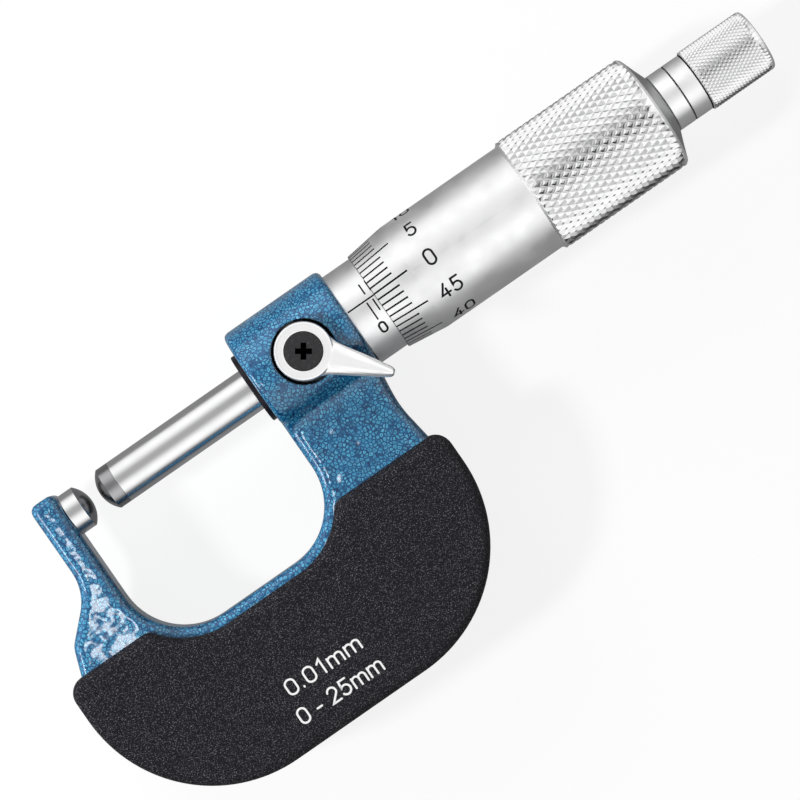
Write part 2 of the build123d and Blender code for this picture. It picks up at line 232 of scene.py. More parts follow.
def light_only(piece, *stands):
    """Keeps the light of some lamps on one piece."""
    group = bpy.data.collections.new("lit_" + piece.name)
    group.objects.link(piece)
    for stand in stands:
        stand.light_linking.receiver_collection = group


soft_lamp("near_lamp", (-650, 110, 560), 110, 7.6)
soft_lamp("far_lamp", (-100, 700, 300), 420, 4.2)
# these two are for the frame alone
window = soft_lamp("window_lamp", (-72, -8, 604), 58, 0.15, in_metal=True)
edge_light = soft_lamp("edge_lamp", (-500, 60, 380), 200, 1.0, in_metal=True)

# Frame
# One steel casting of lug, bow and hub under blue hammertone enamel, whose wet coat drew together in
# small cells. The hub runs into the web with a soft cast blend, wider toward the thimble.
casting_cell = 0.3
# a skin is evened by a pull in and a push back out, which keeps its size
even_pull, even_push = 0.5, -0.53
hub_start, hub_end = 32.4, 48.95
web_face = 4.0
hub_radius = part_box("frame")[1].z / mm
blend_narrow, blend_wide = 1.4, 4.2
blend_before, blend_after = 0.5, 1.5
blend_strength, blend_rounds = 1.25, 60
cell_size = 0.56
enamel_navy = (0.001, 0.020, 0.080)
enamel_blue = (0.005, 0.12, 0.27)
# the pale blue of the painted highlight around each enamel cell
enamel_glint_pale = (0.09, 0.40, 0.58)
cell_wobble = 0.22
seat_black = (0.002, 0.003, 0.005)
seat_shade_narrow, seat_shade_wide = 4.62, 4.76
seat_shade_low, seat_shade_high = 5.0, 5.5
lock_x = 40.9
wave_size, wave_height = 2.6, 0.17


def neighbour_mean(points, ends, counts):
    """The middle of every point's neighbours along a mesh's edges."""
    total = np.zeros_like(points)
    for axis in range(3):
        for here, there in ((0, 1), (1, 0)):
            total[:, axis] += np.bincount(ends[:, here], points[ends[:, there], axis], len(points))
    return total / counts[:, None]


def fused(name, sources, cell, material, evening, blend=None, rounds=0):
    """One even skin around closed meshes, with a soft blend where blend(points) is over 0."""
    joined = bmesh.new()
    for source in sources:
        joined.from_mesh(source)
    rough = bpy.data.meshes.new(name)
    joined.to_mesh(rough)
    joined.free()
    lump = new_object(name, rough)
    cells = lump.modifiers.new("cells", "REMESH")
    cells.mode = "VOXEL"
    cells.voxel_size = cell * mm
    mesh = bpy.data.meshes.new_from_object(lump.evaluated_get(bpy.context.evaluated_depsgraph_get()))
    lump.modifiers.clear()
    points = np.empty(len(mesh.vertices) * 3)
    mesh.vertices.foreach_get("co", points)
    points = points.reshape(-1, 3)
    ends = np.empty(len(mesh.edges) * 2, dtype=np.int32)
    mesh.edges.foreach_get("vertices", ends)
    ends = ends.reshape(-1, 2)
    counts = np.bincount(ends.ravel(), minlength=len(points))
    if blend is not None:
        amount = blend(points / mm)[:, None] * 0.5
        for _ in range(rounds):
            points = points + amount * (neighbour_mean(points, ends, counts) - points)
    for step in (even_pull, even_push) * evening:
        points = points + step * (neighbour_mean(points, ends, counts) - points)
    mesh.vertices.foreach_set("co", points.ravel())
    mesh.materials.clear()
    mesh.materials.append(material)
    mesh.shade_smooth()
    lump.data = mesh
    return lump


def hub_blend(points):
    """How much the casting is drawn in at each point: most where the hub's round meets the web's faces."""
    x, y, z = points.T
    foot = -math.sqrt(hub_radius**2 - web_face**2)
    away = np.hypot(y - foot, np.abs(z) - web_face)
    reach = np.interp(x, (hub_start, hub_end), (blend_narrow, blend_wide))
    inside = (x > hub_start - blend_before) & (x < hub_end + blend_after)
    return np.clip(blend_strength - away / reach, 0, 1) * inside


enamel, tree, shader = new_finish("frame_enamel", enamel_blue, 0.3, 0.12)
tree.put(1.0, shader["Coat Weight"])
tree.put(0.09, shader["Coat Roughness"])
tree.put(0.2, shader["Specular IOR Level"])
surface = tree.place["Object"]
wobble = tree.add("TexNoise", {"Vector": surface, "Scale": 1.3 / (cell_size * mm)}).outputs["Color"]
pattern = {"Vector": tree.mix(cell_wobble * mm, surface, wobble, "VECTOR"), "Scale": 1 / (cell_size * mm)}
cells = tree.add("TexVoronoi", pattern).outputs
rims = tree.add("TexVoronoi", pattern, feature="DISTANCE_TO_EDGE").outputs["Distance"]
# dark where two cells meet, then a pale ring that is a painted highlight standing in for each cell's glint,
# and blue in the middle
tones = tree.ramp(rims, ((0.0, enamel_navy), (0.07, enamel_navy), (0.14, enamel_blue), (0.22, enamel_glint_pale),
                         (0.29, enamel_glint_pale), (0.38, enamel_blue), (0.55, enamel_blue)))
chance = tree.add("SeparateColor", {"Color": cells["Color"]}).outputs["Red"]
varied = tree.mix(tree.remap(chance, 0, 1, 0.0, 0.6), tones, enamel_blue)
patches = tree.remap(tree.noise(900, 3), 0.46, 0.68, 0.0, 0.38)
toned = tree.mix(patches, varied, enamel_navy)
# the shade in the lever's seat, by distance from the lock's axis
spot = tree.add("SeparateXYZ", {"Vector": surface}).outputs
off_axis = tree.calc("SUBTRACT", spot["X"], lock_x * mm)
radius = tree.calc("POWER", tree.calc("ADD", tree.calc("MULTIPLY", off_axis, off_axis),
                                      tree.calc("MULTIPLY", spot["Y"], spot["Y"])), 0.5)
within = tree.remap(radius, seat_shade_wide * mm, seat_shade_narrow * mm, 0, 1)
above = tree.remap(spot["Z"], seat_shade_low * mm, seat_shade_high * mm, 0, 1)
tree.put(tree.mix(tree.calc("MULTIPLY", within, above), toned, seat_black), shader["Base Color"])
tree.put(tree.remap(cells["Distance"], 0, 0.8, 0.22, 0.42), shader["Roughness"])
# the coat swells softly, and the cells' edges show only in the paint under it
swell = tree.bump(tree.noise(1 / (wave_size * mm), 1), 1.0, wave_height * mm)
tree.put(tree.bump(rims, 0.5, 0.03 * mm, swell), shader["Normal"])
tree.put(swell, shader["Coat Normal"])

casting = fused("frame_casting", [cad["frame"].data], casting_cell, enamel, 3, hub_blend, blend_rounds)
light_only(casting, window, edge_light)
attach(casting, "body")
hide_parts("frame")

# Grip plates
# Two charcoal plastic mouldings that clip over the bow's rim and peg into its web, with a fine sandy
# grain. The range and the graduation are printed in thin white paint on the front one.
grain_size, grain_height = 0.16, 0.05
plate_charcoal = (0.004, 0.0035, 0.006)
plate_speck = (0.14, 0.138, 0.15)
print_white = (0.82, 0.82, 0.82)
print_stroke = 0.3
print_rise = 0.03
print_root = 0.05
paint_step, stroke_step = 0.002, 0.3
print_rows = (("0.01mm", 11.75, 23.85, -38.9, 2.2), ("0 - 25mm", 10.9, 24.7, -43.2, 2.2))

plastic, tree, shader = new_finish("grip_plastic", plate_charcoal, 0.62)
tree.put(0.2, shader["Specular IOR Level"])
grain = tree.noise(1 / (grain_size * mm), 1)
tree.put(tree.mix(tree.remap(grain, 0.56, 0.74, 0, 1), plate_charcoal, plate_speck), shader["Base Color"])
tree.put(tree.bump(grain, 1.0, grain_height * mm), shader["Normal"])


def finished(node, material):
    """Gives a CAD piece that stays its material."""
    cad[node].data.materials.clear()
    cad[node].data.materials.append(material)


for plate in ("front_plate", "back_plate"):
    finished(plate, plastic)


def bend(centre, radii, start, end, steps=14):
    """Points along a part of an ellipse, from one angle in degrees to another."""
    turns = [math.radians(start + (end - start) * i / steps) for i in range(steps + 1)]
    return [(centre[0] + radii[0] * math.cos(t), centre[1] + radii[1] * math.sin(t)) for t in turns]


# each character's strokes in a box one unit high, and its width
characters = {
    "0": (
        [bend((0.29, 0.71), (0.29, 0.29), 0, 180) + bend((0.29, 0.29), (0.29, 0.29), 180, 360)
         + [(0.58, 0.71)]],
        0.58,
    ),
    "1": ([[(0.06, 0.76), (0.30, 1.0), (0.30, 0.0)]], 0.42),
    "2": ([bend((0.29, 0.71), (0.28, 0.29), 165, -38) + [(0.0, 0.0), (0.58, 0.0)]], 0.58),
    "3": ([bend((0.27, 0.76), (0.26, 0.24), 150, -90) + bend((0.27, 0.26), (0.29, 0.26), 90, -150)], 0.56),
    "4": ([[(0.42, 1.0), (0.0, 0.28), (0.62, 0.28)], [(0.42, 0.62), (0.42, 0.0)]], 0.62),
    "5": ([[(0.54, 1.0), (0.09, 1.0), (0.05, 0.54)] + bend((0.26, 0.32), (0.30, 0.32), 128, -150)], 0.56),
    "m": (
        [
            [(0.0, 0.0), (0.0, 0.68)],
            bend((0.22, 0.46), (0.22, 0.22), 180, 0) + [(0.44, 0.0)],
            bend((0.66, 0.46), (0.22, 0.22), 180, 0) + [(0.88, 0.0)],
        ],
        0.88,
    ),
    ".": ([[(0.05, 0.03), (0.05, 0.07)]], 0.10),
    "-": ([[(0.0, 0.36), (0.32, 0.36)]], 0.32),
    " ": ([], 0.10),
}
letter_gap = 0.27


def written(text, height):
    """The strokes of a row of characters from its left foot, and the row's length."""
    strokes, along = [], 0.0
    for character in text:
        drawn, width = characters[character]
        strokes += [[((along + x) * height, y * height) for x, y in stroke] for stroke in drawn]
        along += width + letter_gap
    return strokes, (along - letter_gap) * height


def moved(strokes, left, foot, stretch=1.0):
    """Strokes at another place, drawn out along the row."""
    return [[(left + x * stretch, foot + y) for x, y in stroke] for stroke in strokes]


def closely(stroke, step):
    """The same stroke with points no further apart than a step."""
    points = [Vector(stroke[0])]
    for point in stroke[1:]:
        start, end = points[-1].copy(), Vector(point)
        count = max(1, math.ceil((end - start).length / step))
        if (end - start).length > 1e-6:
            points += [start.lerp(end, i / count) for i in range(1, count + 1)]
    return points


def ribbon(points, width, closed):
    """Left and right edges of a stroke with mitred corners, and the round ends' points."""
    left, right = [], []
    for i, point in enumerate(points):
        if closed:
            before = (point - points[i - 1]).normalized()
            after = (points[(i + 1) % len(points)] - point).normalized()
        else:
            before = (point - points[i - 1]).normalized() if i else (points[1] - point).normalized()
            after = (points[i + 1] - point).normalized() if i + 1 < len(points) else before
        across = Vector((-(before + after).y, (before + after).x)).normalized()
        mitre = 1 / max(0.45, across.dot(Vector((-before.y, before.x))))
        left.append(point + across * width / 2 * mitre)
        right.append(point - across * width / 2 * mitre)

    def cap(centre, edge):
        arm = edge - centre
        turns = [-math.pi * k / 6 for k in range(1, 6)]
        return [centre + Matrix.Rotation(t, 2) @ arm for t in turns]

    return left, right, cap(points[-1], left[-1]), cap(points[0], right[0])


def inlay(name, strokes, width, on_surface, root, rise, material):
    """Closed painted strokes that stand a little proud of a surface and are rooted in it."""
    points, faces = [], []
    for number, stroke in enumerate(strokes):
        path = closely(stroke, stroke_step)
        closed = (path[0] - path[-1]).length < 1e-4
        left, right, end_cap, start_cap = ribbon(path[:-1] if closed else path, width, closed)
        edge = left + right if closed else left + end_cap + right[::-1] + start_cap
        base, count, n, m = len(points), len(edge), len(left), len(end_cap)
        # strokes that cross lie a hair apart
        for level in (rise + paint_step * (number % 3), -root):
            points += [on_surface(p.x, p.y, level) for p in edge]
        if closed:
            for i in range(n):
                j = (i + 1) % n
                ring = [base + i, base + j, base + n + j, base + n + i]
                under = [k + count for k in ring]
                faces += [ring, under] + [[ring[a], ring[b], under[b], under[a]] for a, b in ((0, 1), (2, 3))]
            continue
        back = [n + m + (n - 1 - i) for i in range(n)]
        for level in (0, count):
            start = base + level
            faces += [[start + i, start + i + 1, start + back[i + 1], start + back[i]] for i in range(n - 1)]
            faces.append([start + i for i in range(n - 1, n + m + 1)])
            faces.append([start + i for i in range(count - len(start_cap) - 1, count)] + [start])
        for i in range(count):
            j = (i + 1) % count
            faces.append([base + i, base + j, base + count + j, base + count + i])
    return closed_piece(name, points, faces, [material])


def closed_piece(name, points, faces, materials, face_materials=None, crease=28.0):
    """A closed mesh from points in millimetres, smooth where its faces meet below the crease angle."""
    mesh = bpy.data.meshes.new(name)
    mesh.from_pydata([Vector(p) * mm for p in points], [], faces)
    for material in materials:
        mesh.materials.append(material)
    if face_materials:
        mesh.polygons.foreach_set("material_index", face_materials)
    shell = bmesh.new()
    shell.from_mesh(mesh)
    open_edges = [e for e in shell.edges if len(e.link_faces) != 2]
    assert not open_edges, (name, len(open_edges), [v.co / mm for v in open_edges[0].verts])
    bmesh.ops.recalc_face_normals(shell, faces=shell.faces)
    shell.to_mesh(mesh)
    shell.free()
    mesh.shade_smooth()
    mesh.set_sharp_from_angle(angle=math.radians(crease))
    return new_object(name, mesh)


paint_white, tree, shader = new_finish("print_white", print_white, 0.55)
tree.put(tree.remap(tree.noise(4000), 0.3, 0.7, 0.45, 0.65), shader["Roughness"])

plate_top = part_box("front_plate")[1].z / mm
print_strokes = []
for text, left_end, right_end, foot, height in print_rows:
    strokes, length = written(text, height)
    stretch = (right_end - left_end) / length
    print_strokes += moved(strokes, left_end, foot, stretch)
plate_print = inlay(
    "front_plate_print", print_strokes, print_stroke, lambda x, y, rise: (x, y, plate_top + rise),
    print_root, print_rise, paint_white,
)
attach(plate_print, "body")

# Anvil and its ball face
# A ground steel stub pressed in the lug, with a carbide cap brazed on it and lapped to a ball so that
# it touches the inside of a tube's wall at one point.
spindle_radius = 3.25
ball_radius = 4.5
ball_height = ball_radius - math.sqrt(ball_radius**2 - spindle_radius**2)
edge_ease = 0.06
steel_grey = (0.76, 0.76, 0.765)
carbide_grey = (0.36, 0.36, 0.37)


def turned_metal(name, colour, roughness, mark_size, mark_depth, smudge=0.08):
    """Metal with fine tool marks around the spindle's axis and a faintly uneven polish."""
    material, tree, shader = new_finish(name, colour, roughness, 1.0)
    stretched = {"Vector": tree.place["Object"], "Scale": (1 / (mark_size * mm), 30, 30)}
    marks = tree.noise(1.0, 3, tree.add("Mapping", stretched).outputs["Vector"])
    tree.put(tree.bump(marks, mark_depth, 0.01 * mm), shader["Normal"])
    polish = tree.noise(260, 4)
    tree.put(tree.remap(polish, 0.3, 0.7, roughness * 0.8, roughness * 1.2), shader["Roughness"])
    dull = [c * (1 - smudge) for c in colour]
    tree.put(tree.mix(tree.remap(polish, 0.35, 0.65, 0, 1), colour, dull), shader["Base Color"])
    return material


def eased(profile):
    """Half a turned section's points, from rows of place, radius and the corner's rounding."""
    points = []
    count = len(profile)
    for i, row in enumerate(profile):
        here = Vector(row[:2])
        ease = row[2] if len(row) > 2 else 0
        before, after = Vector(profile[i - 1][:2]), Vector(profile[(i + 1) % count][:2])
        if ease <= 0:
            points.append(here)
            continue
        back = (before - here).normalized() * min(ease, (before - here).length * 0.45)
        on = (after - here).normalized() * min(ease, (after - here).length * 0.45)
        for k in range(5):
            t = k / 4
            points.append(here + back * (1 - t) ** 2 + on * t**2)
    return points


def turned_piece(name, profile, material, columns=144, axis_x=None, crease=28.0):
    """A turned solid about the spindle's axis, or about an upright axis at axis_x, from its half section."""
    points, faces, rings = [], [], []
    for place, radius in eased(profile):
        if radius < 1e-6:
            rings.append([len(points)] * columns)
            points.append((place, 0, 0))
            continue
        rings.append(list(range(len(points), len(points) + columns)))
        for k in range(columns):
            turn = 2 * math.pi * k / columns
            points.append((place, radius * math.sin(turn), radius * math.cos(turn)))
    pairs = list(zip(rings, rings[1:] + rings[:1]))
    for ring, following in pairs:
        for k in range(columns):
            j = (k + 1) % columns
            corners = list(dict.fromkeys((ring[k], ring[j], following[j], following[k])))
            if len(corners) > 2:
                faces.append(corners)
    if axis_x is not None:
        points = [(axis_x + z, y, x) for x, y, z in points]
    return closed_piece(name, points, faces, [material], crease=crease)


def ball(base, direction, steps=20):
    """Section points of a ball face, from the rim of its flat base to its pole on the axis."""
    centre = base + direction * (ball_height - ball_radius)
    widest = math.asin(spindle_radius / ball_radius)
    turns = [widest * (1 - i / steps) for i in range(steps)]
    rows = [(centre + direction * ball_radius * math.cos(t), ball_radius * math.sin(t)) for t in turns]
    return rows + [(base + direction * ball_height, 0)]


ground_steel = turned_metal("ground_steel", steel_grey, 0.22, 0.09, 0.1, 0.04)
carbide = turned_metal("carbide", carbide_grey, 0.2, 0.07, 0.1)
anvil_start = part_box("anvil")[0].x / mm
anvil_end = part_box("anvil")[1].x / mm
anvil_shank = 2.5
anvil_piece = turned_piece(
    "anvil_stub",
    [(anvil_start, 0), (anvil_start, anvil_shank), (0, anvil_shank), (0, spindle_radius, edge_ease),
     (anvil_end, spindle_radius), (anvil_end, 0)],
    ground_steel,
)
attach(anvil_piece, "body")
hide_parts("anvil")
anvil_ball = turned_piece("anvil_ball", [(anvil_end, 0)] + ball(anvil_end, 1), carbide)
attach(anvil_ball, "body")
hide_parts("anvil_tip")

# Spindle bush
# A blackened steel bush pressed into the throat's side of the hub, whose thin flange shows as a dark
# ring around the spindle.
bush_radius, bush_gap = 5.0, 0.02
flange_length, flange_ease = 0.8, 0.2
bush_black = (0.012, 0.009, 0.013)


def blacked(name, colour, roughness):
    """Blackened steel with a faint worn sheen."""
    material, tree, shader = new_finish(name, colour, roughness, 0.6)
    wear = tree.noise(2200, 4)
    tree.put(tree.remap(wear, 0.3, 0.7, roughness - 0.1, roughness + 0.15), shader["Roughness"])
    worn = [c * 2.2 for c in colour]
    tree.put(tree.mix(tree.remap(wear, 0.55, 0.8, 0, 1), colour, worn), shader["Base Color"])
    return material


black_steel = blacked("black_steel", bush_black, 0.36)
bush_low, bush_high = (corner.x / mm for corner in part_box("spindle_bush"))
flange_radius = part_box("spindle_bush")[1].y / mm
bush_bore = spindle_radius + bush_gap
bush_piece = turned_piece(
    "bush_turned",
    [(bush_low, bush_bore, edge_ease), (bush_low, flange_radius, flange_ease),
     (bush_low + flange_length, flange_radius), (bush_low + flange_length, bush_radius),
     (bush_high, bush_radius), (bush_high, bush_bore)],
    black_steel,
)
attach(bush_piece, "body")
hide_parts("spindle_bush")

# Inner sleeve, adjusting nut, lock parts
# The hidden turned steel parts: the barrel pressed in the hub, its taper nut, the lock's bush and stem,
# and the brass pad that the stem pushes on the spindle.
bright_steel = turned_metal("bright_steel", (0.60, 0.60, 0.61), 0.3, 0.2, 0.4)
lock_brass = turned_metal("lock_brass", (0.62, 0.42, 0.16), 0.3, 0.2, 0.3)
for node in ("inner_sleeve", "adjusting_nut", "lock_bush", "lock_stem"):
    finished(node, bright_steel)
finished("lock_pad", lock_brass)

# Lock lever
# A nickelled casting: a flat ring around the stem and a slim arm with a rounded back that thins toward
# its tip. A black screw with a cross recess holds it down.
lever_turn = -48.0
lever_low, lever_high = (corner.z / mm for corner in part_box("lock_lever"))
ring_radius = 4.18
ring_hole = 2.78
stem_hole = 2.32
ring_floor = 9.4
ring_round, ring_foot, ring_lip = 0.4, 0.2, 0.12
arm_low = 8.9
# the arm's back from its root to its tip: its height, the share of that at its sides, and its crown's bend
root_back, tip_back = 1.5, 1.1
root_shoulder, tip_shoulder = 0.48, 0.18
root_crown, tip_crown = 1.1, 1.7
side_bend, floor_bend = 0.9, 0.3
# the back sinks where the arm is narrow: its share at no width, and how it grows with half the width
thin_back, thin_rise = 0.45, 0.8
# reach from the lock's axis and half the width there
arm_sizes = ((2.9, 3.0), (3.4, 2.75), (4.1, 2.42), (5.4, 2.14), (7.5, 1.76), (10.5, 1.22), (12.3, 0.86),
             (12.85, 0.66), (13.1, 0.40))
lever_cell = 0.11
lever_nickel, nickel_metallic = (0.90, 0.90, 0.90), 0.8
screw_grey = (0.034, 0.033, 0.035)
# the painted shade inside the screw's cross recess
recess_shade_black = (0.001, 0.001, 0.001)
recess_low, recess_high = 0.35, 0.2


def lever_arm():
    """The lever's arm as a closed mesh: crowned sections along its length, wide at the ring."""
    points, faces = [], []
    around = 20
    heading = Vector((math.cos(math.radians(lever_turn)), math.sin(math.radians(lever_turn)), 0))
    across = Vector((-heading.y, heading.x, 0))
    start = Vector((lock_x, 0, 0))
    for reach, half_width in arm_sizes:
        share = max(0.0, (reach - arm_sizes[1][0]) / (arm_sizes[-1][0] - arm_sizes[1][0]))
        back = (root_back + (tip_back - root_back) * share) * min(1.0, thin_back + thin_rise * half_width)
        shoulder = back * (root_shoulder + (tip_shoulder - root_shoulder) * share)
        bend_up = root_crown + (tip_crown - root_crown) * share
        for k in range(around):
            turn = 2 * math.pi * k / around
            side, up = math.cos(turn), math.sin(turn)
            if up > 0:
                rise = shoulder + (back - shoulder) * up**bend_up
            else:
                rise = shoulder * (1 - (-up) ** floor_bend)
            aside = half_width * math.copysign(abs(side) ** side_bend, side)
            points.append(start + heading * reach + across * aside + Vector((0, 0, arm_low + rise)))
    for i in range(len(arm_sizes) - 1):
        for k in range(around):
            j = (k + 1) % around
            low, high = i * around, (i + 1) * around
            faces.append([low + k, low + j, high + j, high + k])
    faces.append(list(range(around)))
    last = (len(arm_sizes) - 1) * around
    faces.append(list(range(last, last + around)))
    return closed_piece("lever_arm", points, faces, [])


nickel = turned_metal("lever_metal", lever_nickel, 0.33, 1.4, 0.05, 0.03)
nickel.node_tree.nodes["Principled BSDF"].inputs["Metallic"].default_value = nickel_metallic
ring_part = turned_piece(
    "lever_ring",
    [(lever_low, stem_hole), (lever_low, ring_radius, ring_foot), (lever_high, ring_radius, ring_round),
     (lever_high, ring_hole, ring_lip), (ring_floor, ring_hole), (ring_floor, stem_hole)],
    nickel, axis_x=lock_x,
)
arm_part = lever_arm()
lever = fused("lever_casting", [ring_part.data, arm_part.data], lever_cell, nickel, 8)
for part in (ring_part, arm_part):
    bpy.data.objects.remove(part)
light_only(lever, soft_lamp("lever_lamp", (32, 17, 600), 220, 0.08, in_metal=True))
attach(lever, "lever")
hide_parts("lock_lever")
# painted shade: the cross recess is painted black and without sheen below the screw's rim
screw_black = blacked("screw_black", screw_grey, 0.42)
tree = Tree(screw_black)
shader = tree.nodes["Principled BSDF"].inputs
height = tree.add("SeparateXYZ", {"Vector": tree.place["Object"]}).outputs["Z"]
above = tree.remap(height, (lever_high - recess_low) * mm, (lever_high - recess_high) * mm, 0, 1)
tree.put(tree.mix(above, recess_shade_black, shader["Base Color"].links[0].from_socket), shader["Base Color"])
tree.put(tree.remap(above, 0, 1, 0.0, 0.5), shader["Specular IOR Level"])
tree.put(tree.remap(above, 0, 1, 0.0, 0.6), shader["Metallic"])
finished("lever_screw", screw_black)

# Sleeve
# A satin chromed tube over the inner sleeve, with a datum line and lines every half millimetre cut in
# it and filled with black, and numbers at every fifth millimetre line.
zero_place = 52.05
sleeve_low, sleeve_high = (corner.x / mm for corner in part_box("sleeve"))
sleeve_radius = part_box("sleeve")[1].y / mm
sleeve_wall = 1.1
sleeve_bore = sleeve_radius - sleeve_wall
sleeve_ease = 0.2
scale_length = 25
line_width = 0.24
sleeve_facet = math.radians(2)
line_depth = 0.05
datum_height = 0.96
datum_start, datum_end = 0.12, 1.0
whole_line = (-1.3, 0.6)
fifth_line = (-2.25, 0.6)
half_line = (1.7, 3.4)
scale_number_height = 1.6
scale_number_foot = -4.45
scale_number_stroke = 0.32
number_rise = 0.012
satin_grey = (0.92, 0.92, 0.925)

satin_chrome = turned_metal("satin_chrome", satin_grey, 0.42, 0.12, 0.2, 0.03)
line_black, tree, shader = new_finish("line_black", (0.004, 0.004, 0.005), 0.5)
tree.put(0.2, shader["Specular IOR Level"])
tree.put(tree.remap(tree.noise(6000), 0.3, 0.7, 0.4, 0.7), shader["Roughness"])


class Skin:
    """A closed turned skin that is built ring by ring, with cut lines or a knurl where it has them."""

    def __init__(self):
        self.points, self.faces, self.kinds = [], [], []

    def add(self, corners, kind=0):
        self.faces.append(corners)
        self.kinds.append(kind)

    def point(self, place, radius, turn):
        self.points.append((place, radius * math.sin(turn), radius * math.cos(turn)))
        return len(self.points) - 1

    def ring(self, place, radius, turns):
        return [self.point(place, radius, turn) for turn in turns]

    def join(self, ring, other, kind=0):
        for k in range(len(ring)):
            j = (k + 1) % len(ring)
            self.add([ring[k], ring[j], other[j], other[k]], kind)

    def run(self, ring, turns, profile, kind=0):
        """Joins a ring to new rings along a profile, and gives the last one."""
        for place, radius in profile:
            following = self.ring(place, radius, turns)
            self.join(ring, following, kind)
            ring = following
        return ring

    def stitch(self, ring, turns, other, other_turns):
        """Triangles between two rings with points at different turns."""
        full = 2 * math.pi
        i = j = 0
        while i < len(ring) or j < len(other):
            next_i = turns[i + 1] if i + 1 < len(ring) else turns[0] + full
            next_j = other_turns[j + 1] if j + 1 < len(other) else other_turns[0] + full
            here, there = ring[i % len(ring)], other[j % len(other)]
            if j == len(other) or (i < len(ring) and next_i <= next_j):
                i += 1
                self.add([here, ring[i % len(ring)], there])
            else:
                j += 1
                self.add([here, other[j % len(other)], there])

    def engraved(self, places, turns, radius_at, depth, is_cut):
        """A band with cells of it sunk and painted, and its first and last ring."""
        corners = {}

        def corner(i, j, sunk):
            key = (i, j % len(turns), sunk)
            if key not in corners:
                radius = radius_at(places[i]) - (depth if sunk else 0)
                corners[key] = self.point(places[i], radius, turns[key[1]])
            return corners[key]

        def wall(one, other):
            edge = ((one, False), (other, False), (other, True), (one, True))
            self.add([corner(*spot, sunk) for spot, sunk in edge], 1)

        ends = turns[1:] + [turns[0] + 2 * math.pi]
        cut = [
            [is_cut((places[i] + places[i + 1]) / 2, (turns[j] + ends[j]) / 2) for j in range(len(turns))]
            for i in range(len(places) - 1)
        ]
        for i in range(len(places) - 1):
            for j in range(len(turns)):
                sunk = cut[i][j]
                here, across, along = (i, j), (i, j + 1), (i + 1, j)
                self.add([corner(*spot, sunk) for spot in (here, across, (i + 1, j + 1), along)], int(sunk))
                if sunk != (cut[i - 1][j] if i else False):
                    wall(here, across)
                if cut[i][j - 1] != sunk:
                    wall(here, along)
        return [[corner(i, j, False) for j in range(len(turns))] for i in (0, len(places) - 1)]


def spread(breaks, widest):
    """Turns around the axis at the given breaks, with more between them where they are far apart."""
    breaks = sorted(set(breaks))
    turns = []
    for start, end in zip(breaks, breaks[1:] + [breaks[0] + 2 * math.pi]):
        count = max(1, math.ceil((end - start) / widest - 1e-6))
        turns += [start + (end - start) * k / count for k in range(count)]
    return turns


def sleeve_turn(height):
    return math.asin(height / sleeve_radius)


datum_turn = sleeve_turn(datum_height)
half_width = line_width / 2 / sleeve_radius
line_ends = [sleeve_turn(end) for end in (*whole_line, fifth_line[0], *half_line)]
sleeve_turns = spread([datum_turn - half_width, datum_turn + half_width] + line_ends, sleeve_facet)
half_places = [zero_place + i / 2 for i in range(2 * scale_length + 1)]
sleeve_places = [sleeve_low, sleeve_low + datum_start]
for place in half_places:
    sleeve_places += [place - line_width / 2, place + line_width / 2]
sleeve_places += [sleeve_high - datum_end, sleeve_high - sleeve_ease]


def sleeve_cut(place, turn):
    """Whether a spot on the sleeve is in the datum line or in a line of the scale."""
    turn = (turn + math.pi) % (2 * math.pi) - math.pi
    if abs(turn - datum_turn) < half_width:
        return sleeve_low + datum_start < place < sleeve_high - datum_end
    step = round((place - zero_place) * 2)
    if not 0 <= step <= 2 * scale_length or abs(place - zero_place - step / 2) > line_width / 2:
        return False
    low, high = half_line if step % 2 else fifth_line if step % 10 == 0 else whole_line
    return sleeve_turn(low) < turn < sleeve_turn(high)


skin = Skin()
first, last = skin.engraved(sleeve_places, sleeve_turns, lambda place: sleeve_radius, line_depth, sleeve_cut)
last = skin.run(last, sleeve_turns, [(sleeve_high, sleeve_radius - sleeve_ease), (sleeve_high, sleeve_bore),
                                     (sleeve_low, sleeve_bore)])
skin.join(last, first)
sleeve = closed_piece("sleeve_scale", skin.points, skin.faces, [satin_chrome, line_black], skin.kinds)
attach(sleeve, "body")
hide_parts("sleeve")

scale_numbers = []
for value in range(0, scale_length + 1, 5):
    strokes, length = written(str(value), scale_number_height)
    start = zero_place + value - length / 2
    scale_numbers += moved(strokes, start, scale_number_foot)


def wrapped(radius):
    """Takes spots of a flat drawing around a turned surface."""

    def placed(x, y, rise):
        return (x, (radius + rise) * math.sin(y / radius), (radius + rise) * math.cos(y / radius))

    return placed


sleeve_numbers = inlay("sleeve_numbers", scale_numbers, scale_number_stroke, wrapped(sleeve_radius),
                       line_depth, number_rise, line_black)
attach(sleeve_numbers, "body")

# Spindle
# A ground steel screw: plain where it runs in the hub, then its thread and the taper that carries the
# thimble. Its carbide cap is brazed on and lapped to a ball like the anvil's.
spindle_low, spindle_high = (corner.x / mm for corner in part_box("spindle"))
tip_low, tip_high = (corner.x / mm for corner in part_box("spindle_tip"))
tip_base = tip_low + ball_height
joint_ease, tail_ease = 0.03, 0.1
spindle_ball = turned_piece(
    "spindle_ball",
    [(tip_high, 0), (tip_high, spindle_radius, joint_ease)] + ball(tip_base, -1),
    carbide,
)
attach(spindle_ball, "tip")
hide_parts("spindle_tip")
thread_start, thread_end = 50.95, 87.95
thread_radius = 3.5
thread_depth = 0.29
thread_pitch, thread_runout = 0.5, 0.3
taper_wide, taper_narrow = 3.35, 2.9
seat_place = 93.0
tail_bore, tail_depth = 1.6, 8.0
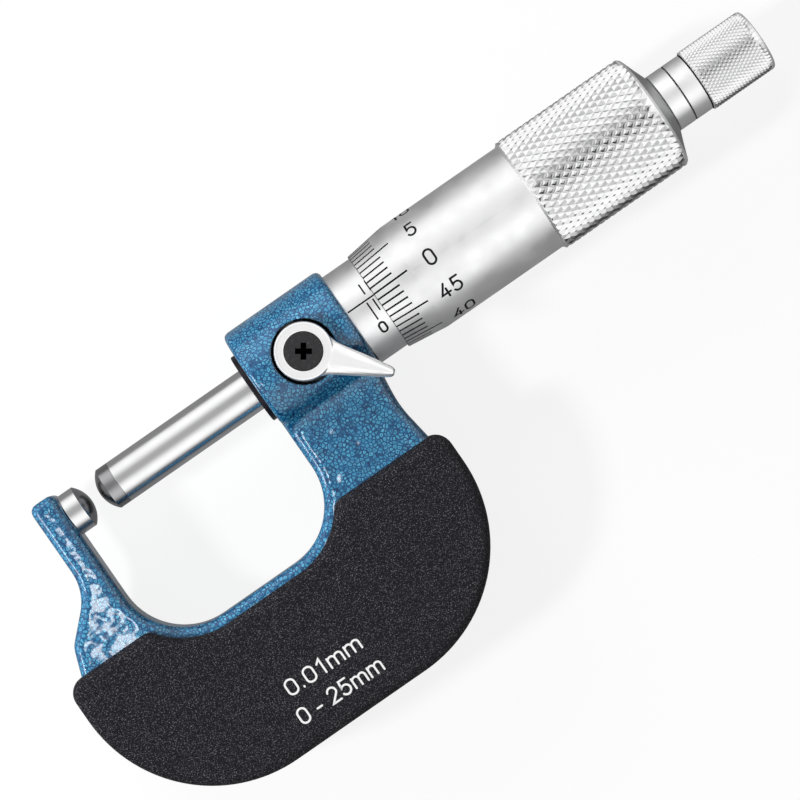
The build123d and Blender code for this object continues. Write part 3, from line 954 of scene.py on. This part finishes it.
# one turn of the thread: how far along, and 1 where it is cut
thread_form = ((0.06, 1), (0.22, 0), (0.28, 0), (0.44, 1))
thread_rows = []
for i in range(int((thread_end - thread_start) / thread_pitch)):
    place = thread_start + thread_pitch * i
    thread_rows += [(place + along, thread_radius - thread_depth * cut) for along, cut in thread_form]
spindle_piece = turned_piece(
    "spindle_screw",
    [(spindle_low, 0), (spindle_low, spindle_radius, joint_ease), (thread_start, spindle_radius)]
    + thread_rows
    + [(thread_end + thread_runout, taper_wide), (seat_place, taper_wide),
       (spindle_high, taper_narrow, tail_ease), (spindle_high, tail_bore),
       (spindle_high - tail_depth, tail_bore), (spindle_high - tail_depth, 0)],
    ground_steel, columns=96,
)
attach(spindle_piece, "spindle_unit")
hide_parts("spindle")

# Thimble
# One chromed turning: a bevel with fifty cut lines filled with black and numbers behind them, a plain
# barrel, a coarse diamond knurl for the fingers, and a cone down to the ratchet.
thimble_low, thimble_high = (corner.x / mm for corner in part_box("thimble"))
grip_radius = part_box("thimble")[1].y / mm
barrel_radius = 8.55
thimble_bore, mouth_length = 7.5, 1.0
bevel_edge, bevel_middle = 0.25, 0.5
bevel_length, bevel_ease = 6.2, 0.08
divisions = 50
short_line, long_line = 3.75, 5.75
# how far back the bevel's front edge is sunk and painted black, as a painted shadow of its step over the
# sleeve
edge_shadow_width = 0.07
barrel_columns = 192
thimble_line = 0.27
thimble_facet = math.radians(1.9)
knurl_around, knurl_along = 48, 10
knurl_start = 80.15
knurl_chamfer, knurl_rim = 0.45, 0.16
knurl_length = 20.6
knurl_depth, rim_step = 0.30, 0.05
knurl_flat = 0.28
# how far inside the collar's radius the thimble's black-painted end face reaches, a painted shade in the gap
shaded_end_inset = 0.1
rim_rows = [(100.95, 9.0), (101.3, 8.72)]
cone_rows = [(101.4, 8.5), (102.15, 6.5), (102.92, 4.62)]
thimble_number_height = 2.25
thimble_number_place = 63.0
thimble_number_stroke = 0.33
thimble_number_drop = 0.25


def knurled(skin, start, length, radius, depth, around, along, flat, kind):
    """A knurl of flat-topped diamonds on a skin, and its two edge rings and their turns."""
    columns = 2 * along
    turns = [math.pi * j / around for j in range(2 * around)]
    low = {}
    for i in range(columns + 1):
        for j in range(2 * around):
            if (i + j) % 2:
                low[i, j] = skin.point(start + length * i / columns, radius - depth, turns[j])
    edges = []
    for i in (0, columns):
        place = start + length * i / columns
        peaks = {j: skin.point(place, radius, turns[j]) for j in range(2 * around) if (i + j) % 2 == 0}
        inner = 1 if i == 0 else columns - 1
        for j, peak in peaks.items():
            up, down = (j + 1) % (2 * around), (j - 1) % (2 * around)
            skin.add([peak, low[inner, j], low[i, up]], kind)
            skin.add([peak, low[i, down], low[inner, j]], kind)
        edges.append([peaks[j] if j in peaks else low[i, j] for j in range(2 * around)])
    for i in range(1, columns):
        for j in range(2 * around):
            if (i + j) % 2:
                continue
            place, turn = start + length * i / columns, turns[j]
            along_step, turn_step = flat * length / columns, flat * math.pi / around
            left = skin.point(place - along_step, radius, turn)
            upper = skin.point(place, radius, turn + turn_step)
            right = skin.point(place + along_step, radius, turn)
            lower = skin.point(place, radius, turn - turn_step)
            west, east = low[i - 1, j], low[i + 1, j]
            north, south = low[i, (j + 1) % (2 * around)], low[i, (j - 1) % (2 * around)]
            skin.add([left, upper, right, lower], kind)
            for corners in ((west, north, upper, left), (north, east, right, upper),
                            (east, south, lower, right), (south, west, left, lower)):
                skin.add(list(corners), kind)
    return edges[0], edges[1], turns


knurled_chrome = turned_metal("knurled_chrome", satin_grey, 0.48, 0.14, 0.2, 0.03)
cut_chrome = turned_metal("cut_chrome", (0.75, 0.75, 0.755), 0.17, 0.3, 0.2, 0.05)
# a darker copy of the chrome for the cone: painted shade where it faces away from the light
shaded_cone_chrome = turned_metal("shaded_cone_chrome", (0.42, 0.42, 0.425), 0.5, 0.1, 0.2, 0.03)
line_step = 2 * math.pi / divisions
thimble_half = thimble_line / 2 / (thimble_bore + bevel_middle)
thimble_turns = spread(
    [datum_turn + k * line_step + side * thimble_half for k in range(divisions) for side in (-1, 1)],
    thimble_facet,
)
bevel_places = [thimble_low, thimble_low + edge_shadow_width, thimble_low + short_line, thimble_low + long_line,
                thimble_low + bevel_length - bevel_ease, thimble_low + bevel_length]


def bevel_radius(place):
    """The bevel's radius, from the thimble's thin edge to its barrel."""
    share = (place - thimble_low) / bevel_length
    return thimble_bore + bevel_edge + (barrel_radius - thimble_bore - bevel_edge) * share


def bevel_cut(place, turn):
    """Whether a spot on the bevel is in one of its lines or in the painted shadow along its front edge."""
    if place - thimble_low < edge_shadow_width:
        return True
    step = round((turn - datum_turn) / line_step)
    if abs(turn - datum_turn - step * line_step) > thimble_half:
        return False
    end = long_line if step % 5 == 0 else short_line
    return place - thimble_low < end


skin = Skin()
first, last = skin.engraved(bevel_places, thimble_turns, bevel_radius, line_depth, bevel_cut)
barrel_turns = [2 * math.pi * k / barrel_columns for k in range(barrel_columns)]
barrel_ring = skin.ring(thimble_low + bevel_length + bevel_ease, barrel_radius, barrel_turns)
skin.stitch(last, thimble_turns, barrel_ring, barrel_turns)
last = skin.run(barrel_ring, barrel_turns, [(knurl_start - knurl_chamfer, barrel_radius),
                                            (knurl_start - knurl_rim, grip_radius - knurl_depth + rim_step)])
edge, far_edge, knurl_turns = knurled(skin, knurl_start, knurl_length, grip_radius, knurl_depth, knurl_around,
                                      knurl_along, knurl_flat, 2)
skin.stitch(last, barrel_turns, edge, knurl_turns)
base_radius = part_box("ratchet_base")[1].y / mm
tail_clear = spindle_high + 0.05
shank_bore, taper_gap = 2.15, 0.02
bore = [(thimble_high, shank_bore), (tail_clear, shank_bore), (tail_clear, taper_narrow + taper_gap),
        (seat_place, taper_wide + taper_gap), (seat_place, thimble_bore),
        (thimble_low + mouth_length, thimble_bore)]
last = skin.run(far_edge, knurl_turns, rim_rows)
last = skin.run(last, knurl_turns, cone_rows, 3)
# painted shade: the thimble's end face beside the ratchet collar is painted black as the shade in the gap
last = skin.run(last, knurl_turns, [(thimble_high, base_radius - shaded_end_inset)], 1)
last = skin.run(last, knurl_turns, bore)
bore_edge = skin.ring(thimble_low, thimble_bore, thimble_turns)
skin.stitch(bore_edge, thimble_turns, last, knurl_turns)
skin.join(bore_edge, first)
thimble = closed_piece("thimble_turning", skin.points, skin.faces,
                       [knurled_chrome, line_black, cut_chrome, shaded_cone_chrome], skin.kinds, crease=20.0)
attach(thimble, "spindle_unit")
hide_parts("thimble")

thimble_numbers = []
for value in range(0, divisions, 5):
    strokes, length = written(str(value), thimble_number_height)
    start = thimble_number_place - length / 2
    foot = barrel_radius * (datum_turn + value * line_step) - thimble_number_height / 2 - thimble_number_drop
    thimble_numbers += moved(strokes, start, foot)
barrel_numbers = inlay("thimble_numbers", thimble_numbers, thimble_number_stroke, wrapped(barrel_radius),
                       line_depth, number_rise, line_black)
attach(barrel_numbers, "spindle_unit")

# Ratchet stop
# A plain chromed collar plugged in the spindle's tail, and a knob that slips over its teeth when the
# spindle meets the work. The knob is chromed too, with a fine knurl and a cup for its screw. A coil of
# drawn wire in it pushes the toothed disc on the collar's teeth.
knob_low, knob_high = (corner.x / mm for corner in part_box("ratchet_knob"))
knob_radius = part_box("ratchet_knob")[1].y / mm
collar_end = knob_low + 2.8
groove_end = collar_end + 0.17
groove_radius = base_radius - 0.2
fine_around, fine_along = 52, 10
fine_length = 9.8
fine_depth, fine_flat, fine_gap = 0.16, 0.25, 0.15
knob_ease, groove_ease = 0.1, 0.05
# the rounding at the knob's end: how far from the end and from the knurl's crest
tail_round = ((0.38, 0.03), (0.16, 0.16), (0.04, 0.36), (0.0, 0.6))
cup_radius = 3.3
cup_floor = 115.18
cavity_radius = 3.75
cavity_end = 110.55
post_bore = 1.55

finished("ratchet_base", satin_chrome)
finished("ratchet_pawl", bright_steel)
finished("ratchet_screw", bright_steel)

skin = Skin()
edge, far_edge, fine_turns = knurled(skin, groove_end + fine_gap, fine_length, knob_radius, fine_depth,
                                     fine_around, fine_along, fine_flat, 1)
tail_rows = [(knob_high - back, knob_radius - inward) for back, inward in tail_round]
inside = [(knob_high, cup_radius + knob_ease), (knob_high - knob_ease, cup_radius), (cup_floor, cup_radius),
          (cup_floor, post_bore), (cavity_end, post_bore), (cavity_end, cavity_radius),
          (knob_low, cavity_radius), (knob_low, base_radius - knob_ease)]
collar_groove = [(collar_end, base_radius - groove_ease), (collar_end, groove_radius),
                 (groove_end, groove_radius), (groove_end, knob_radius - fine_depth - groove_ease)]
last = skin.run(far_edge, fine_turns, tail_rows + inside)
# painted shade: the knob's rounded corner at the thimble and the collar's groove are painted black where
# shade falls
last = skin.run(last, fine_turns, [(knob_low + knob_ease, base_radius)], 2)
last = skin.run(last, fine_turns, [(collar_end - groove_ease, base_radius)])
last = skin.run(last, fine_turns, collar_groove, 2)
skin.join(last, edge)
knob = closed_piece("knob_knurled", skin.points, skin.faces, [knurled_chrome, cut_chrome, line_black],
                    skin.kinds, crease=20.0)
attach(knob, "knob")
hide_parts("ratchet_knob")

spring_low, spring_high = (corner.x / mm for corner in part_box("ratchet_spring"))
spring_wire, spring_radius, spring_turns = 0.22, 2.7, 3.5


def coil_spring(steps=126, around=10):
    """The ratchet's spring as a closed mesh: round wire wound along the axis."""
    points, faces = [], []
    length = spring_high - spring_low - 2 * spring_wire
    for i in range(steps + 1):
        turn = 2 * math.pi * spring_turns * i / steps
        for k in range(around):
            angle = 2 * math.pi * k / around
            place = spring_low + spring_wire + length * i / steps + spring_wire * math.sin(angle)
            radius = spring_radius + spring_wire * math.cos(angle)
            points.append((place, radius * math.sin(turn), radius * math.cos(turn)))
    for i in range(steps):
        for k in range(around):
            j = (k + 1) % around
            faces.append([i * around + k, i * around + j, (i + 1) * around + j, (i + 1) * around + k])
    return points, faces + [list(range(around)), list(range(steps * around, (steps + 1) * around))]


spring_steel = turned_metal("spring_steel", (0.46, 0.46, 0.48), 0.34, 0.3, 0.1)
spring = closed_piece("ratchet_coil", *coil_spring(), [spring_steel])
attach(spring, "knob")
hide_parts("ratchet_spring")
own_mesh(spring)
